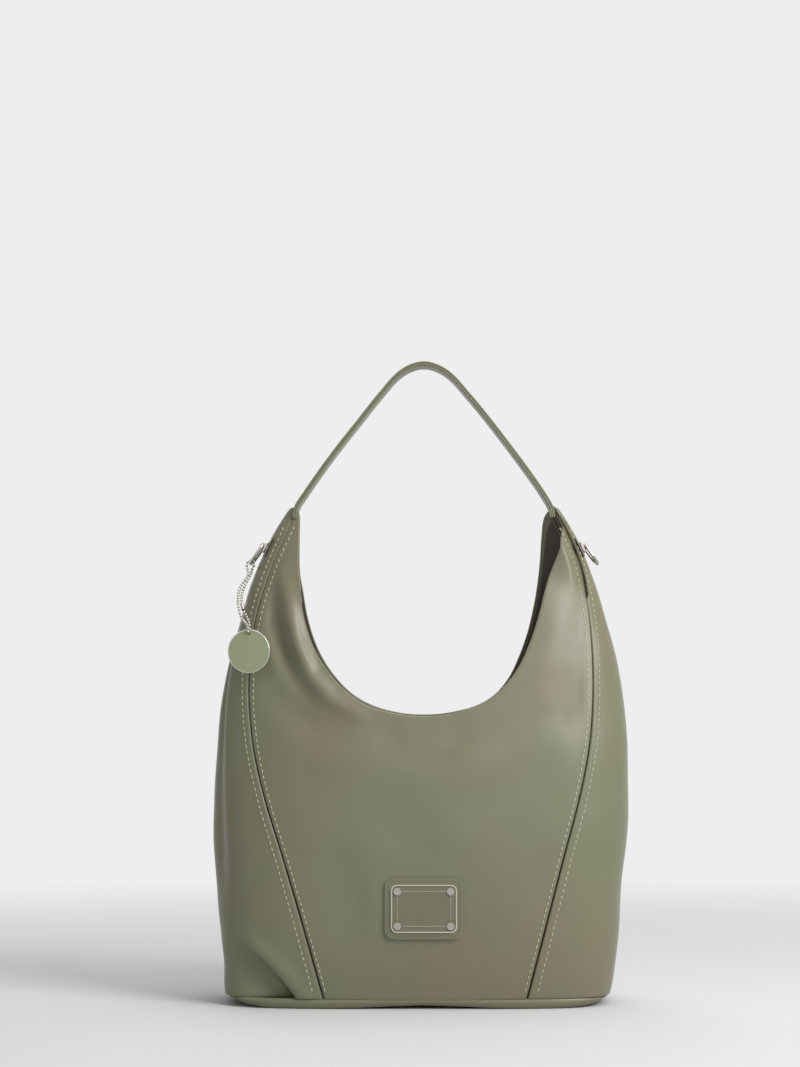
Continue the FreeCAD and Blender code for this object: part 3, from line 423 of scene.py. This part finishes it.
edgeRows = [0.0, 0.2, 0.7, 1.5, 3.2]  # millimetres from an edge where extra rows run


def spaced(index, count, span):
    # shares from 0 to 1 with close rows near both edges
    last = len(edgeRows) - 1
    if index <= last:
        return edgeRows[index] / span
    if index >= count - last:
        return 1 - edgeRows[count - index] / span
    margin = edgeRows[last] / span
    return margin + (index - last) / (count - 2 * last) * (1 - 2 * margin)


def makeSheet(name, place, wall, size, span, material, body="bag",
              flip=False, inside=None):
    # size is the number of columns and rows, span the sheet's usual width and height
    columns, rows = size
    bm = bmesh.new()
    bmesh.ops.create_grid(bm, x_segments=columns, y_segments=rows, size=0.5)
    spots = {}
    for vert in bm.verts:
        column, row = round((vert.co.x + 0.5) * columns), round((vert.co.y + 0.5) * rows)
        vert.co = place(spaced(column, columns, span[0]), spaced(row, rows, span[1]))
        spots[column, row] = vert
    if flip:
        bmesh.ops.reverse_faces(bm, faces=bm.faces)
    bm.normal_update()
    bend = wall * 0.5
    near = len(edgeRows)
    sunk = {}
    for (column, row), vert in spots.items():
        borders = []
        if column < near:
            borders.append(spots[0, row])
        if column > columns - near:
            borders.append(spots[columns, row])
        if row < near:
            borders.append(spots[column, 0])
        if row > rows - near:
            borders.append(spots[column, rows])
        reach = min([(vert.co - other.co).length for other in borders] + [bend])
        sunk[vert] = bend - math.sqrt(max(0.0, bend ** 2 - (bend - reach) ** 2))
    normals = {vert: vert.normal.copy() for vert in bm.verts}
    copy = bmesh.ops.duplicate(bm, geom=bm.verts[:] + bm.edges[:] + bm.faces[:])
    inner = [face for face in copy["geom"] if isinstance(face, bmesh.types.BMFace)]
    for vert, low in sunk.items():
        twin = copy["vert_map"][vert]
        twin.co = (vert.co - normals[vert] * (wall - low)) * mm
        vert.co = (vert.co - normals[vert] * low) * mm
    bmesh.ops.reverse_faces(bm, faces=inner)
    lip = {copy["vert_map"][spots[key]] for key in spots
           if min(key[0], key[1], columns - key[0], rows - key[1]) < near}
    # inner faces away from the edges take the inside material; for leather sheets that is the darker copy,
    # painted as shade
    for face in inner if inside else ():
        if not any(vert in lip for vert in face.verts):
            face.material_index = 1
    edge = {spots[key] for key in spots if key[0] in (0, columns) or key[1] in (0, rows)}
    pairs = list(edge) + [copy["vert_map"][vert] for vert in edge]
    bmesh.ops.remove_doubles(bm, verts=pairs, dist=1e-6)
    piece = toMesh(bm, name, material, body)
    if inside:
        piece.data.materials.append(inside)
    return piece


# leather panels: a front and a back sheet, and a gusset at each side

panelBuild = {"wall": 2.8, "size": (200, 140), "span": (270, 300), "crowd": 0.6}
gussetBuild = {"size": (110, 170), "span": (150, 386)}
peak = 394.0  # the height of both peaks
seamLap = 0.35  # how far a sheet runs on past a seam


def footAt(x):
    # the panel's foot dips a little in the middle
    dip, middle, corner = 2.0, 60, 80
    return form["foot"] - dip * (bump(x, middle) - bump(corner, middle))


def panelPlace(s, t, rim):
    # a place in the front view: s runs from seam to seam, t from the base up to the rim
    def seamAt(points, u):
        z = form["foot"] + (peak - form["foot"]) * u
        seam = along(points, z)
        return Vector((seam + math.copysign(seamLap, seam), z))

    def bottom(u):
        x = form["leftSeam"][0][1] * (1 - u) + form["rightSeam"][0][1] * u
        return Vector((x, footAt(x)))

    def top(u):
        crowd = panelBuild["crowd"] * math.sin(2 * math.pi * u) / (2 * math.pi)
        return pathPoint(rim, u - crowd)  # the columns stand closer at the peaks

    def left(u):
        return seamAt(form["leftSeam"], u)

    def right(u):
        return seamAt(form["rightSeam"], u)

    return coons(bottom, left, right, top, s, t)


def panelSpot(side, rim, inset=0.0, drop=0.0):
    # a panel's face, set in from the leather's and ending a little below the rim
    def place(s, t):
        length = (panelPlace(s, 1, rim) - panelPlace(s, 0, rim)).length if drop else 1
        spot = panelPlace(s, t * (1 - drop / length), rim)
        return frontPoint(spot.x, spot.y, inset, side)
    return place


def gussetSpot(side, inset=0.0, top=peak):
    def place(s, t):
        v = (2 * s - 1) * (1 + seamLap / gussetBuild["span"][0] * 2)
        return gussetPoint(v, form["foot"] + (top - form["foot"]) * t, side, inset)
    return place


def makeLeatherSheet(name, place, build, flip=False):
    return makeSheet(name, place, panelBuild["wall"], build["size"], build["span"], leather,
                     flip=flip, inside=shadedFacingLeather)


frontPanel = makeLeatherSheet("frontPanel", panelSpot(-1, frontRim), panelBuild)
backPanel = makeLeatherSheet("backPanel", panelSpot(1, backRim), panelBuild, flip=True)
leftGusset = makeLeatherSheet("leftGusset", gussetSpot(-1), gussetBuild, flip=True)
rightGusset = makeLeatherSheet("rightGusset", gussetSpot(1), gussetBuild)
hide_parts("front_panel", "front_facing")
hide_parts("back_panel", "back_facing")
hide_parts("left_gusset")
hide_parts("right_gusset")
print("leather panels made")


# base: a shallow leather tray that the panels are sewn to

baseBuild = {
    "profile": [(0.0, 1.4), (0.5, 1.2), (0.86, 0.3), (0.94, 0.0), (0.975, 0.7), (0.996, 2.6), (1.004, 5.0),
                (0.998, 7.2), (0.985, 8.2)],
    "around": 160,
    "rings": 48,
    "wall": 1.4,
    "proud": 2.0,
    "top": 9.0,
}


def baseLift(x):
    # the base stands on two bands and curls up at its ends
    return 2.8 * bump(x, 46) + 5.5 * max(0.0, (abs(x + 4) - 112) / 38) ** 2


def makeBase():
    bm = bmesh.new()
    bmesh.ops.create_grid(bm, x_segments=baseBuild["around"], y_segments=baseBuild["rings"], size=0.5)
    power = form["square"][0][1]
    for vert in bm.verts:
        angle = (vert.co.x + 0.5) * 2 * math.pi
        out = pathPoint(baseBuild["profile"], vert.co.y + 0.5)
        cosine, sine = math.cos(angle), math.sin(angle)
        half = (form["right"] if cosine > 0 else form["left"])[0][1] + baseBuild["proud"]
        x = half * out.x * math.copysign(abs(cosine) ** (2 / power), cosine)
        y = (form["depth"][0][1] + baseBuild["proud"]) * out.x * math.copysign(abs(sine) ** (2 / power), sine)
        lift = baseLift(x) * step(baseBuild["top"], 0, out.y)
        vert.co = Vector((x, y, out.y + lift)) * mm
    bmesh.ops.remove_doubles(bm, verts=bm.verts, dist=2e-5)
    bmesh.ops.recalc_face_normals(bm, faces=bm.faces)
    piece = toMesh(bm, "basePanel", leather, "bag")
    thicker = piece.modifiers.new("wall", "SOLIDIFY")
    thicker.thickness = baseBuild["wall"] * mm
    thicker.offset = -1
    return piece


basePanel = makeBase()
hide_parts("base_panel", "base_board")
print("base made")


# lining: four cloths inside the leather, ending below the rims

liningBuild = {"inset": 3.4, "wall": 0.7, "drop": 26, "top": 388, "size": (80, 60)}
liningSpan = {"panel": (270, 280), "gusset": (140, 380)}


def makeLining(name, place, kind, flip=False):
    return makeSheet(name, place, liningBuild["wall"], liningBuild["size"], liningSpan[kind], liningCloth,
                     flip=flip)


inset, drop, top = liningBuild["inset"], liningBuild["drop"], liningBuild["top"]
liningFront = makeLining("liningFront", panelSpot(-1, frontRim, inset, drop), "panel")
liningBack = makeLining("liningBack", panelSpot(1, backRim, inset, drop), "panel", flip=True)
makeLining("liningLeft", gussetSpot(-1, inset, top), "gusset", flip=True)
makeLining("liningRight", gussetSpot(1, inset, top), "gusset")
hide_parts("front_lining")
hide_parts("back_lining", "slip_pocket", "base_lining")
print("lining made")


# strap: two plies of leather back to back, rooted inside the peaks

strap = {
    "route": [(-103.2, 384), (-101.6, 393), (-94, 405), (-81.5, 423), (-67, 442.5), (-51.5, 462),
              (-36, 481.5), (-18, 501), (0, 507.6), (18, 501), (36.5, 481.5), (52.5, 462),
              (67.5, 442.5), (82, 423), (94.5, 405), (101.4, 393), (102.8, 385)],
    "width": 22.0,
    "waist": 0.08,
    "ply": 1.9,
    "gap": 0.1,
    "crown": 0.25,
    "size": (220, 18),
    "span": (420, 22),
}


def strapPlace(share, across, out):
    # a point of the strap: a share of its length, a place across it, a distance off its middle
    here = pathPoint(strap["route"], share)
    small = 0.004
    ahead = pathPoint(strap["route"], min(1.0, share + small))
    behind = pathPoint(strap["route"], max(0.0, share - small))
    run = (ahead - behind).normalized()
    spot = here + Vector((-run.y, run.x)) * out
    narrow = 1.0 - strap["waist"] * math.sin(math.pi * share)
    return Vector((spot.x, across * strap["width"] * 0.5 * narrow, spot.y))


def makePly(name, sign):
    def place(s, t):
        across = 2 * t - 1
        return strapPlace(s, across, sign * (strap["gap"] + strap["ply"] - strap["crown"] * across ** 2))
    piece = makeSheet(name, place, strap["ply"], strap["size"], strap["span"], leather, body=None, flip=sign < 0)
    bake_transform(piece)
    return piece


strapTop = makePly("strapTop", 1)
strapUnder = makePly("strapUnder", -1)
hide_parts("handle_top_ply", "handle_core", "left_handle_tab", "right_handle_tab")
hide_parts("handle_under_ply")
print("strap made")


# stitches: each a small sunk capsule; a row follows a line of (point, normal) places

stitchLook = {"pitch": 4.9, "length": 3.1, "radius": 0.46, "offset": 5.0, "low": 13, "high": 376, "steps": 180}
stitchForm = {"rise": 0.43, "flat": 0.8}  # shares of the stitch's radius
onEnd = Matrix.Rotation(math.pi / 2, 4, "Y")


def sewLine(bm, spots, pitch, length, radius):
    # spots are close (point, normal) pairs in millimetres along the line
    gone, nextAt = 0.0, pitch * 0.5
    for (a, normalA), (b, normalB) in zip(spots, spots[1:]):
        run = (b - a).length
        while run and gone + run >= nextAt:
            share = (nextAt - gone) / run
            ahead = (b - a).normalized()
            up = normalA.lerp(normalB, share)
            up = (up - ahead * up.dot(ahead)).normalized()
            aside = up.cross(ahead)
            axes = Matrix((ahead * length * 0.5, aside * radius, up * radius * stitchForm["flat"]))
            placed = axes.transposed().to_4x4()
            placed.translation = a.lerp(b, share) + up * radius * stitchForm["rise"]
            bmesh.ops.create_uvsphere(bm, u_segments=6, v_segments=5, radius=1,
                                      matrix=Matrix.Scale(mm, 4) @ placed @ onEnd)
            nextAt += pitch
        gone += run


def normalOf(place, s, t, small=0.002):
    # the outward side of a sheet's face
    across = place(s + small, t) - place(s - small, t)
    upwards = place(s, t + small) - place(s, t - small)
    return across.cross(upwards).normalized()


def seamRow(bm, side, end, onPanel):
    # a stitch row beside a seam, on the panel (side -1 front) or on the gusset
    points = form["rightSeam"] if end > 0 else form["leftSeam"]
    spots = []
    low, high, steps = stitchLook["low"], stitchLook["high"], stitchLook["steps"]
    for k in range(steps + 1):
        z = low + (high - low) * k / steps
        seam = along(points, z)
        if onPanel:
            def spot(du, dz):
                return frontPoint(seam - end * (stitchLook["offset"] * 0.9) + du, z + dz, 0.0, side)
            flat = side
        else:
            whole = (gussetPoint(side * 0.99, z, end) - gussetPoint(side * 0.89, z, end)).length / 0.1
            v = side * max(0.3, 1 - stitchLook["offset"] / max(whole, 6.0))

            def spot(du, dz):
                return gussetPoint(v + du * 0.01, z + dz, end)
            flat = -end
        normal = (spot(0.5, 0) - spot(-0.5, 0)).cross(spot(0, 0.5) - spot(0, -0.5)).normalized()
        spots.append((spot(0, 0), normal * (-1 if flat > 0 else 1)))
    sewLine(bm, spots, stitchLook["pitch"], stitchLook["length"], stitchLook["radius"])


for seamName, end in (("left", -1), ("right", 1)):
    for faceName, side in (("Front", -1), ("Back", 1)):
        bm = bmesh.new()
        seamRow(bm, side, end, True)
        seamRow(bm, side, end, False)
        toMesh(bm, seamName + faceName + "Stitches", paleThread, "bag")
print("seam stitches made")


# tone stitches just below the rims and round the badge's patch, and pale dashes on its plate

rimLook = {"down": 3.6, "pitch": 3.3, "length": 2.2, "radius": 0.3}
for name, side, rim in (("frontRimStitches", -1, frontRim), ("backRimStitches", 1, backRim)):
    place = panelSpot(side, rim)
    spots = []
    for k in range(15, 286):
        s = k / 300
        t = 1 - rimLook["down"] / (place(s, 1) - place(s, 0.9)).length * 0.1
        spots.append((place(s, t), normalOf(place, s, t - 0.004) * side))
    bm = bmesh.new()
    sewLine(bm, spots, rimLook["pitch"], rimLook["length"], rimLook["radius"])
    toMesh(bm, name, toneThread, "bag")


def roundedLoop(halfWide, halfTall, corner, y, middle):
    # close places round a rounded rectangle that faces the front
    spots = []
    for k in range(241):
        turn = k / 240 * 2 * math.pi
        across, up = math.cos(turn), math.sin(turn)
        reach = min(halfWide / max(abs(across), 1e-6), halfTall / max(abs(up), 1e-6))
        x, z = across * reach, up * reach
        overX, overZ = abs(x) - (halfWide - corner), abs(z) - (halfTall - corner)
        if overX > 0 and overZ > 0:
            pull = corner / math.hypot(overX, overZ)
            if pull < 1:
                x = math.copysign(halfWide - corner + overX * pull, x)
                z = math.copysign(halfTall - corner + overZ * pull, z)
        spots.append((Vector((x, y, middle + z)), Vector((0, -1, 0))))
    return spots


patchLow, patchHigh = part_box("badge_patch")
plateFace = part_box("badge_plate")[0][1] / mm
badgeLook = {
    "stitchIn": 2.4,
    "corner": 5.0,
    "stitch": (2.7, 1.8, 0.32),  # pitch, length and radius
    "dashWide": 20.5,
    "dashTall": 13.4,
    "gap": 4.2,
    "recess": 0.5,
    "dash": (2.1, 1.45, 0.3),
}
badgeMiddle = (patchLow[2] + patchHigh[2]) / 2 / mm
halfWide = patchHigh[0] / mm - badgeLook["stitchIn"]
halfTall = (patchHigh[2] - patchLow[2]) / 2 / mm - badgeLook["stitchIn"]
bm = bmesh.new()
loop = roundedLoop(halfWide, halfTall, badgeLook["corner"], patchLow[1] / mm, badgeMiddle)
sewLine(bm, loop, *badgeLook["stitch"])
toMesh(bm, "patchStitches", toneThread, "bag")

bm = bmesh.new()
wide, tall, gap = badgeLook["dashWide"], badgeLook["dashTall"], badgeLook["gap"]
field = plateFace + badgeLook["recess"]
forward = Vector((0, -1, 0))
for across, up in ((1, 0), (-1, 0), (0, 1), (0, -1)):
    reach = (tall if across else wide) - gap
    line = []
    for k in (-reach, reach):
        x, z = (across * wide, badgeMiddle + k) if across else (k, badgeMiddle + up * tall)
        line.append((Vector((x, field, z)), forward))
    sewLine(bm, line, *badgeLook["dash"])
toMesh(bm, "plateDashes", paleMetal, "bag")
print("rim and badge stitches made")


# carried-over parts get their finish

def finish(name, material):
    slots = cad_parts[name].data.materials
    slots.clear()
    slots.append(material)


for name in ("left_ring_bridge", "right_ring_bridge", "left_ring_screws", "right_ring_screws", "left_d_ring",
             "right_d_ring", "ball_chain", "chain_connector", "badge_rivets", "snap_socket", "snap_stud"):
    finish(name, silver)
finish("badge_patch", leather)
finish("badge_plate", plateEnamel)
finish("hang_tag", tagEnamel)
for name in ("left_ring_backplate", "right_ring_backplate", "badge_washers", "front_snap_washer",
             "back_snap_washer"):
    finish(name, darkMetal)


# stage, light and camera

lamps = {  # place, what it faces, width and height, and power
    "key": ((1.25, -1.2, 1.3), (0, 0, 0.2), (0.9, 1.2), 34),
    "fill": ((0.3, -2.4, 0.8), (0, 0, 0.25), (1.2, 1.2), 6),
    "rear": ((-0.6, 1.8, 1.2), (0, 0, 0.25), (1.6, 1.2), 9),
    "top": ((0.25, 0.1, 1.7), (0, 0, 0.25), (1.3, 0.9), 11),
}
for name, (spot, target, size, power) in lamps.items():
    lamp = bpy.data.lights.new(name, "AREA")
    lamp.shape = "RECTANGLE"
    lamp.size, lamp.size_y = size
    lamp.energy = power
    lampObject = bpy.data.objects.new(name, lamp)
    lampObject.location = spot
    lampObject.rotation_euler = (Vector(target) - Vector(spot)).to_track_quat("-Z", "Y").to_euler()
    bpy.context.collection.objects.link(lampObject)

floorLook = {"colour": rgb(216, 216, 217), "pale": rgb(238, 238, 238), "half": 12.0, "near": 0.35, "far": 1.5}


def seen(place):
    # 1 for what the camera sees straight on or mirrored in metal, 0 for other light
    path = place.node("ShaderNodeLightPath")
    camera, glossy = (Wire(place.tree, path.outputs[name]) for name in ("Is Camera Ray", "Is Glossy Ray"))
    through = Wire(place.tree, path.outputs["Is Transmission Ray"])
    return camera.maths("MAXIMUM", glossy).maths("MAXIMUM", through)


def makeFloor():
    # a plain floor that fades to the pale surroundings away from the bag
    bm = bmesh.new()
    bmesh.ops.create_grid(bm, x_segments=8, y_segments=8, size=floorLook["half"])
    material, place, shader = newMaterial("floorPaper", {"Roughness": 0.9, "Specular IOR Level": 0.1})
    shader.inputs["Base Color"].default_value = floorLook["colour"]
    reach = place.out("ShaderNodeVectorMath", 1, {"operation": "LENGTH"}, _0=place)
    fade = place.out("ShaderNodeMapRange", 0, {"interpolation_type": "SMOOTHSTEP"}, Value=reach,
                     **{"From Min": floorLook["near"], "From Max": floorLook["far"]})
    glow = place.out("ShaderNodeEmission", 0, None, Color=floorLook["pale"], Strength=1.0)
    paper = Wire(place.tree, shader.outputs[0])
    both = place.out("ShaderNodeMixShader", 0, None, _0=fade * seen(place), _1=paper, _2=glow)
    place.tree.links.new(both.socket, place.tree.nodes["Material Output"].inputs[0])
    toMesh(bm, "floor", material, None)


makeFloor()

worldLook = {"ambient": 0.30}
world = bpy.data.worlds.new("studio")
bpy.context.scene.world = world
world.use_nodes = True
sky = world.node_tree.nodes["Background"]
sky.inputs["Color"].default_value = floorLook["pale"]
level = seen(Wire(world.node_tree, sky.outputs[0])) * (1 - worldLook["ambient"]) + worldLook["ambient"]
world.node_tree.links.new(level.socket, sky.inputs["Strength"])

shot = {"distance": 1.7, "height": 0.215, "frameWidth": 0.64, "right": -0.03, "up": 0.247}
camera = bpy.data.cameras.new("camera")
cameraObject = bpy.data.objects.new("camera", camera)
bpy.context.collection.objects.link(cameraObject)
cameraObject.location = (0, -shot["distance"], shot["height"])
cameraObject.rotation_euler = (math.pi / 2, 0, 0)
camera.sensor_fit = "HORIZONTAL"
camera.lens = camera.sensor_width * shot["distance"] / shot["frameWidth"]
camera.shift_x, camera.shift_y = shot["right"], shot["up"]
bpy.context.scene.camera = cameraObject
bpy.context.scene.view_settings.view_transform = "Standard"

print("stage made")
